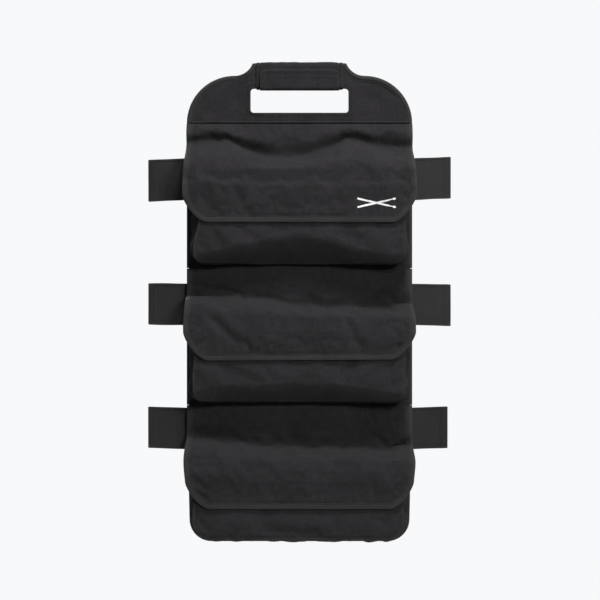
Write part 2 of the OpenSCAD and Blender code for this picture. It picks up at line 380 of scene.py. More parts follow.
def stitches(name, runs, pitch=4.4):
    """Rows of thread. Each run is a line and the direction that the cloth faces there."""
    points, faces, uv = [], [], []
    sides = range(STITCH_SIDES)
    ring = np.radians(np.arange(STITCH_SIDES) * 360 / STITCH_SIDES)
    for line, face in runs:
        line, face = np.asarray(line, float), np.asarray(face, float)
        if face.ndim == 1:
            face = np.tile(face, (len(line), 1))
        both = spaced(np.hstack([line, face]), pitch)
        for a, b in zip(both[:-1], both[1:]):
            go = b[:3] - a[:3]
            long = np.linalg.norm(go)
            if long < 1e-6:
                continue
            go, up = go / long, a[3:] + b[3:]
            up = up - (up @ go) * go
            up /= np.linalg.norm(up)
            side = np.cross(go, up)
            start = len(points)
            for t, lift, r in STITCH:
                middle = a[:3] + go * long * (0.5 + (t - 0.5) * STITCH_SHARE) + up * lift * STITCH_SIZE
                for w in ring:
                    points.append(middle + STITCH_SIZE * r * (side * np.cos(w) + up * np.sin(w)))
                    uv.append((t * long, w))
            for i in range(len(STITCH) - 1):
                for k in sides:
                    p, q = start + i * STITCH_SIDES, (k + 1) % STITCH_SIDES
                    faces.append((p + k, p + q, p + STITCH_SIDES + q, p + STITCH_SIDES + k))
            faces.append(tuple(start + k for k in sides)[::-1])
            faces.append(tuple(start + (len(STITCH) - 1) * STITCH_SIDES + k for k in sides))
    return make(name, points, faces, uv, THREAD)


# ---- Cloth simulation -----------------------------------------------------------------------

SETTLING_FRAMES = 16


def settled(points, faces, pin, grow, cap):
    """Lets a cloth that is slightly too big for its sewn edges buckle, and keeps each point within cap."""
    mesh = bpy.data.meshes.new("settling")
    mesh.from_pydata((points * MM).tolist(), [], [tuple(map(int, f)) for f in faces])
    cloth = bpy.data.objects.new("settling", mesh)
    bpy.context.scene.collection.objects.link(cloth)
    group = cloth.vertex_groups.new(name="pin")
    for k, w in enumerate(pin):
        group.add([k], float(w), "REPLACE")
    modifier = cloth.modifiers.new("cloth", "CLOTH")
    settings = modifier.settings
    settings.quality = 6
    settings.mass = 0.15
    settings.tension_stiffness = settings.compression_stiffness = 18
    settings.shear_stiffness = 8
    settings.bending_stiffness = 5
    settings.air_damping = 3
    settings.vertex_group_mass = "pin"
    settings.shrink_min = settings.shrink_max = -grow
    settings.effector_weights.gravity = 0
    modifier.collision_settings.use_collision = False
    modifier.point_cache.frame_start, modifier.point_cache.frame_end = 1, SETTLING_FRAMES
    scene = bpy.context.scene
    for frame_now in range(1, SETTLING_FRAMES + 1):
        scene.frame_set(frame_now)
    held = cloth.evaluated_get(bpy.context.evaluated_depsgraph_get()).to_mesh()
    now = np.zeros(len(points) * 3)
    held.vertices.foreach_get("co", now)
    scene.frame_set(1)
    bpy.data.objects.remove(cloth)
    bpy.data.meshes.remove(mesh)
    move = now.reshape(-1, 3) / MM - points
    move[~np.isfinite(move)] = 0
    size = np.linalg.norm(move, axis=1, keepdims=True)
    return points + move * np.tanh(size / cap) * cap / np.maximum(size, 1e-6)


def surface_of(points, faces):
    """A function that gives the cloth's y at any (x, z)."""
    tree = BVHTree.FromPolygons([tuple(p) for p in points], [tuple(map(int, f)) for f in faces])

    def height(x, z):
        out = []
        for a, b in zip(np.ravel(x), np.ravel(z)):
            hit = tree.ray_cast((a, -300, b), (0, 1, 0))[0]
            if hit is None:
                hit = tree.find_nearest((a, -60, b))[0]
            out.append(hit[1])
        return np.array(out)

    return height


# ---- Materials ------------------------------------------------------------------------------


# The colour sockets of a mix node
MIX_A, MIX_B, MIX_OUT = 6, 7, 2


def node_maker(owner):
    """The node tree of a material or a world, and a function that adds a node to it."""
    owner.use_nodes = True
    tree = owner.node_tree

    def add(kind, inputs=None, **settings):
        node = tree.nodes.new(kind)
        for key, value in settings.items():
            setattr(node, key, value)
        for key, value in (inputs or {}).items():
            if isinstance(value, bpy.types.NodeSocket):
                tree.links.new(value, node.inputs[key])
            else:
                node.inputs[key].default_value = value
        return node

    return tree, add


def cloth_material(name, colour, thread=0.62, weave=0.5, slub=0.5, rough=0.82, sheen=0.03, sheen_rough=0.5,
                   specular=0.08, rib=0.0, worn=(0.04, 0.039, 0.04), fuzz=0.0, mottle=0.3, bump=0.5):
    """Woven cloth: threads from its flat coordinates, uneven yarn, dust and worn edges."""
    material = bpy.data.materials.new(name)
    tree, add = node_maker(material)
    shader = tree.nodes["Principled BSDF"]
    uv = add("ShaderNodeUVMap", uv_map="cloth").outputs["UV"]
    place = add("ShaderNodeTexCoord").outputs["Object"]

    def maths(kind, a, b=None):
        return add("ShaderNodeMath", {0: a} if b is None else {0: a, 1: b}, operation=kind).outputs[0]

    def noise(vector, scale, detail, roughness):
        return add("ShaderNodeTexNoise", {"Vector": vector, "Scale": scale, "Detail": detail,
                                          "Roughness": roughness}).outputs["Fac"]

    def sine(value, period):
        return maths("SINE", maths("MULTIPLY", value, 2 * math.pi / (period * MM)))

    split = add("ShaderNodeSeparateXYZ", {0: uv})
    threads = maths("MULTIPLY", sine(split.outputs["X"], thread), sine(split.outputs["Y"], thread))
    if rib:
        threads = maths("ADD", maths("MULTIPLY", threads, 0.4), sine(split.outputs["X"], rib))
    yarns = [noise(add("ShaderNodeMapping", {"Vector": uv, "Scale": scale}).outputs[0], 1.0, 3.0, 0.6)
             for scale in ((48, 640, 1), (640, 48, 1))]
    yarn = maths("MULTIPLY", maths("ADD", *yarns), 0.5)
    specks, fine, patchy = noise(place, 330.0, 2.0, 0.5), noise(place, 900.0, 4.0, 0.7), noise(place, 16.0, 5.0, 0.62)
    tone = maths("MULTIPLY", threads, 0.10 * weave)
    for part, share in ((yarn, 2.2 * slub), (patchy, 2 * mottle), (fine, 0.5 + fuzz), (specks, 2 * mottle)):
        tone = maths("ADD", tone, maths("MULTIPLY", maths("SUBTRACT", part, 0.5), share))

    def from_tone(low_end, high_end):
        return add("ShaderNodeMapRange", {"Value": tone, "From Min": -1.0, "From Max": 1.0,
                                          "To Min": low_end, "To Max": high_end}).outputs[0]

    mixed = add("ShaderNodeMix", {"Factor": from_tone(0.0, 1.0)}, data_type="RGBA")
    mixed.inputs[MIX_A].default_value = tuple(c * 0.55 for c in colour) + (1,)
    mixed.inputs[MIX_B].default_value = tuple(c * 1.5 for c in colour) + (1,)
    wear = add("ShaderNodeAttribute", attribute_name="wear").outputs["Fac"]
    rubbed = maths("MULTIPLY", wear, maths("ADD", maths("MULTIPLY", fine, 0.9), maths("MULTIPLY", patchy, 0.5)))
    final = add("ShaderNodeMix", {"Factor": rubbed}, data_type="RGBA")
    tree.links.new(mixed.outputs[MIX_OUT], final.inputs[MIX_A])
    final.inputs[MIX_B].default_value = tuple(worn) + (1,)
    tree.links.new(final.outputs[MIX_OUT], shader.inputs["Base Color"])
    tree.links.new(from_tone(min(1, rough + 0.1), rough - 0.12), shader.inputs["Roughness"])
    height = maths("ADD", maths("MULTIPLY", threads, 0.5 * weave), maths("MULTIPLY", yarn, 2.6 * slub))
    height = maths("ADD", height, maths("MULTIPLY", fine, 0.4 + fuzz))
    relief = add("ShaderNodeBump", {"Height": height, "Strength": bump, "Distance": 0.0004})
    tree.links.new(relief.outputs[0], shader.inputs["Normal"])
    for socket, value in (("Specular IOR Level", specular), ("Sheen Weight", sheen), ("Sheen Roughness", sheen_rough)):
        shader.inputs[socket].default_value = value
    return material


CLOTH = cloth_material("panel_cloth", (0.0213, 0.0198, 0.0215), slub=1.5, mottle=0.6, weave=0.8, bump=0.8)
# The gusset's cloth is the panel cloth at three quarters of its colour: painted shade on the pocket's sides
SHADED_GUSSET_CLOTH = cloth_material("gusset_cloth_painted_shade", (0.0160, 0.0149, 0.0162), slub=1.0)
LINING = cloth_material("lining_cloth", (0.0150, 0.0145, 0.0155), thread=0.45, slub=0.7, rough=0.7, specular=0.15)
TAPE = cloth_material("binding_tape", (0.0210, 0.0212, 0.0206), thread=0.5, rib=1.1, slub=0.5, rough=0.78,
                      specular=0.12, worn=(0.05, 0.05, 0.049))
WEB = cloth_material("strap_web", (0.0160, 0.0153, 0.0163), thread=0.9, rib=1.9, slub=0.8, rough=0.75, specular=0.2)
HOOK = cloth_material("hook_tape", (0.008, 0.008, 0.0085), thread=1.5, weave=1.0, slub=0.2, rough=0.6, sheen=0.1,
                      specular=0.35, bump=0.9)
LOOP = cloth_material("loop_tape", (0.0062, 0.0062, 0.0066), thread=0.8, weave=0.2, slub=0.2, rough=0.95, sheen=0.06,
                      sheen_rough=0.6, fuzz=1.6, bump=1.0)
THREAD = cloth_material("thread", (0.009, 0.0088, 0.0092), thread=0.3, weave=0.8, slub=0.1, rough=0.6,
                        specular=0.15, mottle=0.15)
INK = cloth_material("print_ink", (0.72, 0.72, 0.71), thread=0.62, weave=0.7, slub=0.12, rough=0.55, sheen=0.0,
                     specular=0.4, worn=(0.5, 0.5, 0.5), mottle=0.05, bump=0.4)

# ---- Outlines -------------------------------------------------------------------------------


def arch_right(d, bottom):
    top = ARCH_TOP - d
    turn = 180 + math.degrees(math.asin((NECK_Z - top) / (NECK_R + d)))
    return [np.array([[HALF - d, bottom]]), arc(SHOULDER_X, SHOULDER_Z, SHOULDER_R - d, 0, 90, 24),
            arc(SHOULDER_X, NECK_Z, NECK_R + d, 270, turn, 12)[1:]]


def section_right(i, d):
    if i == 0:
        return arch_right(d, SEAM[1] + 0.5)
    if i == 1:
        return [np.array([[HALF - d, SEAM[2] + 0.5], [HALF - d, SEAM[1] - 0.5]])]
    x = HALF - FOOT_TAPER - FOOT_R
    return [arc(x, SEAM[3] + FOOT_R, FOOT_R - d, -90, 0, 14), np.array([[HALF - d, SEAM[2] - 0.5]])]


def slot_loop(grow=0.0):
    return rounded_patch(SLOT_HALF + grow, SLOT_LOW - grow, SLOT_HIGH + grow, SLOT_R, 5)


def gusset_line(i):
    """Where a pocket's gusset is sewn to the panel, from its right end round to its left."""
    foot = SEAM[i + 1] + (8 if i < 2 else 12)
    x = HALF - GUSSET_INSET - (FOOT_TAPER if i == 2 else 0)
    right = np.vstack([arc(x - 30, foot + 30, 30, -90, 0, 10), [[HALF - GUSSET_INSET, SEAM[i] - SIDE_TOP[i]]]])
    return np.vstack([right[::-1], right * [-1, 1]])


# ---- Camera, light and stage ----------------------------------------------------------------

DISTANCE = 3.0
VIEW_WIDTH = 1.098
EYE_X = 0.0009
EYE_Z = -0.384

camera_data = bpy.data.cameras.new("camera")
camera_data.sensor_width = 36.0
camera_data.lens = 36.0 * DISTANCE / VIEW_WIDTH
camera = bpy.data.objects.new("camera", camera_data)
camera.location = (EYE_X, -DISTANCE, EYE_Z)
camera.rotation_euler = (math.pi / 2, 0, 0)
bpy.context.scene.collection.objects.link(camera)
bpy.context.scene.camera = camera
bpy.context.scene.view_settings.view_transform = "Standard"

# The camera sees a pale backdrop; the bag is lit by a much darker sky that brightens upwards
world = bpy.data.worlds.new("studio")
sky, add = node_maker(world)
backdrop = sky.nodes["Background"]
backdrop.inputs["Color"].default_value = (0.935, 0.943, 0.955, 1)
upwards = add("ShaderNodeSeparateXYZ", {0: add("ShaderNodeTexCoord").outputs["Generated"]}).outputs["Z"]
strength = add("ShaderNodeMapRange",
               {"Value": upwards, "From Min": -0.5, "From Max": 1.0, "To Min": 0.0, "To Max": 0.26})
glow = add("ShaderNodeBackground", {"Color": (0.97, 0.98, 1.0, 1), "Strength": strength.outputs[0]})
either = add("ShaderNodeMixShader", {0: add("ShaderNodeLightPath").outputs["Is Camera Ray"], 1: glow.outputs[0],
                                     2: backdrop.outputs[0]})
sky.links.new(either.outputs[0], sky.nodes["World Output"].inputs["Surface"])
bpy.context.scene.world = world


def lamp(name, place, aim, size, power):
    data = bpy.data.lights.new(name, "AREA")
    data.shape, data.size, data.energy = "DISK", size, power
    light = bpy.data.objects.new(name, data)
    light.location = place
    light.rotation_euler = (Vector(aim) - Vector(place)).to_track_quat("-Z", "Y").to_euler()
    bpy.context.scene.collection.objects.link(light)


lamp("key", (0.45, -1.4, 2.2), (0, 0, -0.4), 0.7, 88)
lamp("front", (1.2, -2.4, 0.65), (0, 0, -0.6), 0.8, 51)
lamp("rear", (-0.6, 2.2, 1.3), (0, 0, -0.4), 1.0, 75)

turns = np.radians(np.arange(0, 360, 5))
floor_rings = [(50, -1700), (1000, -1700), (1850, -1700), (1900, -1703)]
floor_points = np.array([[r * math.cos(a), r * math.sin(a), z] for a in turns for r, z in floor_rings])
floor_faces = [tuple(f) for f in grid_faces(len(turns), len(floor_rings), wrap=True)]
floor_faces.append(tuple(i * len(floor_rings) for i in range(len(turns)))[::-1])
floor_paint = bpy.data.materials.new("floor_paint")
tree, add = node_maker(floor_paint)
grain = add("ShaderNodeTexNoise", {"Scale": 3.0, "Detail": 4.0})
tint = add("ShaderNodeMapRange", {"Value": grain.outputs["Fac"], "To Min": 0.87, "To Max": 0.90})
tree.links.new(tint.outputs[0], tree.nodes["Principled BSDF"].inputs["Base Color"])
tree.nodes["Principled BSDF"].inputs["Roughness"].default_value = 0.9
floor = make("floor", floor_points, floor_faces, floor_points[:, :2], floor_paint)

# ---- Panel ----------------------------------------------------------------------------------

AHEAD = np.array([0, -1.0, 0])
BEHIND = np.array([0, 1.0, 0])

BINDING_SECTION = [(-BIND, 0.5), (-BIND + 0.3, 1.0), (-BIND + 1.6, 1.08), (-BIND + 2.3, 0.78), (-BIND + 3.0, 1.1),
                   (-5, 1.22), (-2, 1.16), (-0.5, 0.9), (0.15, 0.35), (0.15, -0.35), (-0.5, -0.9), (-2, -1.16),
                   (-5, -1.22), (-BIND + 3.0, -1.1), (-BIND + 2.3, -0.78), (-BIND + 1.6, -1.08),
                   (-BIND + 0.3, -1.0), (-BIND, -0.5)]
BINDING_WEAR = [0.15, 0.25, 0.1, 0, 0.1, 0.1, 0.3, 0.8, 1, 1, 0.8, 0.3, 0.1, 0.1, 0, 0.1, 0.25, 0.15]


def tape_section(half):
    return [(a, b * half) for a, b in BINDING_SECTION]


def tape_vary(n, seed):
    s = np.arange(n, dtype=float)
    return np.stack([1 + 0.035 * waves(s, 0 * s, seed, 4, 7, 30), 1 + 0.06 * waves(s, 0 * s, seed + 1, 4, 5, 18)], 1)


def flat_out(line2):
    """The direction away from a section's middle, in its plane, along a line that runs anticlockwise."""
    t = tangents(line2)
    return np.stack([t[:, 1], 0 * t[:, 0], -t[:, 0]], 1)


def lift2(line2, y):
    return np.stack([line2[:, 0], np.full(len(line2), float(y)) if np.isscalar(y) else y, line2[:, 1]], 1)


def to_binding(i, p):
    """Distance from points to the inner edge of the binding round a section."""
    return near(both_sides(section_right(i, BIND)), p, True)[0]


def panel_back_y(i, x, z):
    p = np.stack([x, z], 1)
    puff = 1 - np.exp(-to_binding(i, p) / 7)
    sewn = np.exp(-(near(gusset_line(i), p)[0] / 2.2) ** 2)
    sewn += np.exp(-((z - SEAM[i]) / 2.2) ** 2)
    return FACE - 0.15 + 0.75 * puff - 0.85 * np.minimum(sewn, 1) + 0.22 * waves(x, z, 31 + i, 7, 38, 120) * puff


ARCH_CREASES = (((-186, -46), (-92, -16), 2.6, 15), ((98, -2), (172, -34), 2.2, 13),
                ((-160, 6), (-92, 30), -0.8, 12), ((-96, -50), (96, -50), -0.5, 7))


def panel_front_y(i, x, z):
    edge = to_binding(i, np.stack([x, z], 1))
    y = -FACE - 0.55 * (1 - np.exp(-edge / 8)) + 0.15 * waves(x, z, 11 + i, 7, 30, 90)
    if i == 0:
        arch = smooth_step(z, SEAM[0], SEAM[0] + 20)
        for fold in ARCH_CREASES:
            y += arch * crease(x, z, *fold)
        y += arch * 0.5 * waves(x, z, 5, 8, 30, 80)
        y += 0.8 * np.exp(-((z - SEAM[0]) / 2.0) ** 2)
    return y


for i, t in enumerate(TIERS):
    outline = both_sides(section_right(i, EDGE))
    holes = [slot_loop()] if i == 0 else []
    flat, faces = cut_plate(outline, 4.5 if i == 0 else 6, holes)
    x, z = flat.T
    middle = np.stack([x, 0 * x, z], 1)
    board = ["handle_board"] if i == 0 else []
    for part, y, nodes, cloth, slot in (
        ("front", panel_front_y(i, x, z), [f"{t}_front_fabric", f"{t}_foam_pad", *board], CLOTH, "panel_fabric"),
        ("back", panel_back_y(i, x, z), [f"{t}_back_lining"], LINING, "lining"),
    ):
        skin = np.stack([x, y, z], 1)
        points, solid = closed_skin(*((skin, middle) if part == "front" else (middle, skin)), faces)
        piece = dress(make(f"panel_{part}_{t}", points, solid, np.vstack([flat, flat]), cloth), t, slot, *nodes)

    # Folded tape round the section's free edges, with its two rows of thread
    right = np.vstack(section_right(i, 0.0))
    left = right[::-1] * [-1, 1]
    runs = []
    for k, line2 in enumerate(([np.vstack([right, left])], [right, left], [np.vstack([left, right])])[i]):
        line2 = spaced(line2, 4.0)
        side = ("_right", "_left")[k] if i == 1 else ""
        out = flat_out(line2)
        piece = sweep(f"panel_binding_{t}{side}", lift2(line2, 0.0), out, np.tile(AHEAD, (len(line2), 1)),
                      tape_section(3.55), TAPE, vary=tape_vary(len(line2), 60 + i), wear=BINDING_WEAR)
        dress(piece, t, "binding", *([f"{t}_edge_binding"] if k == 0 else []))
        inner = lift2(line2, 0.0) - out * (BIND - 2.3)
        runs += [(inner + AHEAD * 2.85, AHEAD), (inner + BEHIND * 2.85, BEHIND)]
    dress(stitches(f"panel_binding_thread_{t}", runs), t)

    # Thread that shows on the back, where the pocket and the flap are sewn through
    runs = [(lift2(spaced(gusset_line(i), 3), FACE - 0.3), BEHIND)]
    if i == 0:
        across = np.array([[-HALF + 13, SEAM[0]], [HALF - 13, SEAM[0]]])
        runs.append((lift2(across, FACE - 0.3), BEHIND))
    dress(stitches(f"panel_back_thread_{t}", runs), t)


def surface_frame(height, line2, inwards=0.0):
    """Points, outward directions and cloth normals along a line on a cloth y = height(x, z)."""
    e = 0.5
    x, z = line2.T
    dx = (height(x + e, z) - height(x - e, z)) / (2 * e)
    dz = (height(x, z + e) - height(x, z - e)) / (2 * e)
    normal = np.stack([dx, -np.ones(len(x)), dz], 1)
    normal /= np.linalg.norm(normal, axis=1, keepdims=True)
    line = np.stack([x, height(x, z), z], 1)
    out = np.cross(normal, tangents(line))
    out /= np.linalg.norm(out, axis=1, keepdims=True)
    if (out[:, [0, 2]] * flat_out(line2)[:, [0, 2]]).sum() < 0:
        out = -out
    return line - out * inwards, out, normal


# ---- Pockets --------------------------------------------------------------------------------

POCKET_FOOT = [SEAM[1] + 8, SEAM[2] + 8, SEAM[3] + 11]
FOOT_RISE = (2, 2, 0)  # how much higher the foot is towards its ends
# Half widths of each pocket's left and right side against drop below its flap's seam
POCKET_SIDES = [
    ([(90, 178), (150, 177.5), (181, 179), (205, 186), (225, 190), (260, 189)],
     [(90, 181), (160, 190), (182, 190.5), (205, 187.5), (235, 190.5), (260, 190)]),
    ([(90, 181), (140, 186), (165, 188.5), (200, 191), (250, 188)],
     [(90, 181), (150, 188), (165, 190), (200, 187), (240, 188.5)]),
    ([(100, 181), (150, 187), (183, 190), (205, 191), (240, 189)],
     [(100, 181), (160, 184), (183, 184.5), (212, 190), (240, 189)]),
]


def eased(v, table, reach=18):
    """A table of (at, value) read as a smooth curve."""
    at, value = np.array(table, float).T
    return sum(np.interp(v + k * reach / 3, at, value) * w for k, w in zip(range(-3, 4), (1, 3, 5, 6, 5, 3, 1))) / 24


def pocket_floor(i, x):
    return POCKET_FOOT[i] + FOOT_RISE[i] * smooth_step(np.abs(x), 60, 160)


def pocket_edge(i, d=0.0):
    """The pocket front's edge, from its mouth's right end round the bottom to its left end."""
    r, halves = (16 if i < 2 else 34), []
    for table in POCKET_SIDES[i]:
        foot = POCKET_FOOT[i] + FOOT_RISE[i]
        x = np.linspace(0, FRONT_HALF - r - 2, 12)[:-1]
        floor = np.stack([x, pocket_floor(i, x) + d], 1)
        z = np.linspace(foot + r, MOUTH[i], 16)[1:]
        side = np.stack([eased(SEAM[i] - z, table, 9) - d, z], 1)
        turn = arc(eased(np.array([SEAM[i] - foot - r]), table, 9)[0] - r, foot + r, r - d, -90, 0, 8)
        halves.append(np.vstack([floor, turn, side]))
    return np.vstack([halves[1][::-1], halves[0][1:] * [-1, 1]])


# Knee above the foot, across the pocket, and how far the underside goes back
UNDER = [
    dict(knee=[(-190, 7), (-168, 9), (-120, 20), (-60, 36), (-15, 46), (15, 46), (60, 36), (100, 21), (135, 10),
               (190, 7)],
         back=[(-190, 12), (-120, 34), (-20, 45), (60, 40), (130, 20), (190, 12)]),
    dict(knee=[(-190, 8), (-165, 20), (-110, 27), (-60, 22), (-20, 30), (40, 29), (100, 20), (150, 12), (190, 8)],
         back=[(-190, 12), (-140, 28), (-20, 38), (60, 36), (140, 20), (190, 12)]),
]
KNEE_SOFT = 3.2
LOWER_POCKET_CREASES = (((-150, -768), (-112, -800), 2.0, 8), ((-60, -800), (60, -806), 1.4, 8),
                        ((120, -768), (168, -790), 1.8, 8), ((-178, -775), (-168, -803), 1.6, 6))


def pocket_y(i, x, z):
    """A pocket front's y: it bulges below its flap, and on the upper two the bottom turns under."""
    mouth, foot = MOUTH[i], pocket_floor(i, x)
    up = np.clip((z - foot) / (mouth - foot), 0, 1)
    bow = np.cos(math.pi * x / 400)
    below = smooth_step(SEAM[i] - FLAP_LEN[i] + 25 - z, 0, 40)
    y = FRONT + 0.9 - 1.2 * np.sin(math.pi * up) * bow - below * 2.6 * bow * smooth_step(up, 0.0, 0.25)
    loose = (0.35 + 0.65 * below) * smooth_step(FRONT_HALF - np.abs(x), 0, 25)
    y = y + loose * 0.9 * waves(x, z, 70 + i, 8, 50, 140)
    if i < 2:
        knee = foot + eased(x, UNDER[i]["knee"])
        under = KNEE_SOFT * np.logaddexp(0, (knee - z) / KNEE_SOFT)
        y = y + eased(x, UNDER[i]["back"]) * under / np.maximum(knee - foot, 4)
        folds = (((-150, mouth - 75), (-60, SEAM[i + 1] + 34), 1.4, 12),
                 ((150, mouth - 80), (95, SEAM[i + 1] + 28), 1.2, 12))
    else:
        y = y + 2.0 * (1 - smooth_step(z - foot, 0, 10))
        folds = LOWER_POCKET_CREASES
    for fold in folds:
        y = y + crease(x, z, *fold)
    return y


HEM_POINTS = 120
GUSSET_STEPS, GUSSET_ROWS = 150, 15
POCKET_SEAM = [(-1.9, 0.1), (-1.7, 0.65), (-0.6, 0.85), (0.6, 0.7), (1.0, 0.2), (1.0, -0.5), (0.3, -0.9), (-1.0, -0.9),
               (-1.8, -0.5)]

for i, t in enumerate(TIERS):
    smooth_height = lambda x, z, i=i: pocket_y(i, x, z)
    edge = pocket_edge(i)
    flat, faces = cut_plate(edge[::-1], 4.2)
    x, z = flat.T
    to_edge = near(edge, flat)
    pucker = 0.4 * np.exp(-to_edge[0] / 9) * waves(to_edge[1], 0 * x, 40 + i, 6, 11, 30)
    skin = np.stack([x, smooth_height(x, z) + pucker, z], 1)
    hemmed = (z > MOUTH[i] - 16) | (to_edge[0] < 1)
    if i < 2:
        hemmed |= z < POCKET_FOOT[i] + eased(x, UNDER[i]["knee"]) + 7
    skin = settled(skin, faces, hemmed, 0.012, 3.0)
    free = smooth_step(SEAM[i] - FLAP_LEN[i] - 5 - z, 0, 30)
    skin[:, 1] = np.maximum(skin[:, 1], POCKET_LIMIT - 5 * free)
    height = surface_of(skin, faces)
    front = shell(f"pocket_front_{t}", skin, faces, 0.9, flat, CLOTH, wear=0.5 * np.exp(-to_edge[0] / 3))
    dress(front, t, "panel_fabric", f"{t}_pocket_front")

    # Gusset, from the front's edge back to the panel, folded inwards half way
    lead = spaced(edge, np.linalg.norm(np.diff(edge, axis=0), axis=1).sum() / GUSSET_STEPS)
    line, out, normal = surface_frame(smooth_height, lead)
    sewn = gusset_line(i)
    back = lift2(spaced(sewn, np.linalg.norm(np.diff(sewn, axis=0), axis=1).sum() / GUSSET_STEPS), -FACE - 0.5)
    count = min(len(line), len(back))
    line, back, out, normal = line[:count], back[:count], out[:count], normal[:count]
    v = np.linspace(0, 1, GUSSET_ROWS)[None, :, None]
    run = np.concatenate([[0], np.cumsum(np.linalg.norm(np.diff(line, axis=0), axis=1))])
    s, w = np.meshgrid(run, v[0, :, 0] * 54, indexing="ij")
    ends = smooth_step(np.minimum(run, run[-1] - run), 0, 25)[:, None]
    arch = np.sin(math.pi * v[..., 0])
    fold = arch * (4.5 * ends + 0.5) + 1.5 * arch * waves(s, w, 100 + i, 8, 22, 70)
    inward = out * [1, 0, 1]
    inward /= np.maximum(np.linalg.norm(inward, axis=1, keepdims=True), 1e-6)
    points = (line[:, None] * (1 - v) + back[:, None] * v - inward[:, None] * fold[..., None]).reshape(-1, 3)
    held = np.zeros((count, GUSSET_ROWS), bool)
    held[:, [0, -1]] = held[[0, -1], :] = True
    faces = grid_faces(count, GUSSET_ROWS)
    points = settled(points, faces, held.ravel(), 0.03, 2.5)
    if i < 2:
        points[:, 2] = np.maximum(points[:, 2], SEAM[i + 1] + GUSSET_CLEAR)
    # The gusset wears the darker copy of the panel cloth, painted shade on the pocket's sides
    gusset = shell(f"pocket_gusset_{t}", points, faces, 0.9, np.stack([s.ravel(), w.ravel()], 1), SHADED_GUSSET_CLOTH)
    dress(gusset, t, "gusset_fabric", f"{t}_pocket_gusset")

    # Raised seam where the gusset meets the front; on the upper two it turns under along the bottom
    seen = lead[:count, 1] > POCKET_FOOT[i] + 7
    half = count // 2
    spans = [slice(0, count)] if i == 2 else [slice(0, seen[:half].sum()), slice(count - seen[half:].sum(), count)]
    bounds = []
    for span, end in zip(spans, ("_right", "_left") if i < 2 else ("",)):
        vary = np.stack([1 + 0.12 * waves(run[span], 0 * run[span], 110 + i, 5, 12, 45)] * 2, 1)
        bounds.append(sweep(f"pocket_seam_{t}{end}", line[span], out[span], normal[span], POCKET_SEAM, CLOTH,
                            vary=vary, wear=[0.0, 0.1, 0.4, 0.6, 0.6, 0.4, 0.1, 0, 0]))
        dress(bounds[-1], t, "panel_fabric")

    # Turned hem along the mouth
    mouth = MOUTH[i]
    hem_x = np.linspace(-MOUTH_HALF + 1, MOUTH_HALF - 1, HEM_POINTS)
    hx, hz = grid(hem_x, np.linspace(mouth - 14, mouth + 0.4, 6))
    band = np.stack([hx, height(hx, hz) - 0.2 + 0.12 * waves(hx, hz, 120 + i, 5, 15, 50), hz], 1)
    hem = shell(f"pocket_hem_{t}", band, grid_faces(HEM_POINTS, 6), 2.3, np.stack([hx, hz], 1), CLOTH)
    dress(hem, t, "panel_fabric")

    # Loop tape, with the thread round it and along the hem
    lo, hi = low(f"{t}_pocket_loop_tape"), high(f"{t}_pocket_loop_tape")
    patch = rounded_patch(hi[0], lo[2], hi[2], 3, 4)
    flat, faces = cut_plate(patch, 3.5)
    x, z = flat.T
    skin = np.stack([x, height(x, z) - 1.0 + 0.12 * waves(x, z, 130 + i, 6, 8, 30), z], 1)
    tape = shell(f"pocket_loop_tape_{t}", skin, faces, 1.1, flat, LOOP)
    dress(tape, t, "loop_tape", f"{t}_pocket_loop_tape")
    ring = spaced(patch * [0.985, 1], 3, True)
    middle = (lo[2] + hi[2]) / 2
    ring[:, 1] = middle + (ring[:, 1] - middle) * 0.86
    ring = ended(ring)
    seamline = np.stack([hem_x[2:-2], np.full(HEM_POINTS - 4, mouth - 11.0)], 1)
    inset = spaced(pocket_edge(i, 5.5)[6:-6], 3)
    face_in = surface_frame(smooth_height, inset)[2]
    dress(stitches(f"pocket_thread_{t}", [(lift2(ring, height(*ring.T) - 1.6), AHEAD),
                                          (lift2(seamline, height(*seamline.T) - 1.4), AHEAD),
                                          (lift2(inset, height(*inset.T)) + face_in * 0.5, face_in)]), t)

# ---- Flaps ----------------------------------------------------------------------------------

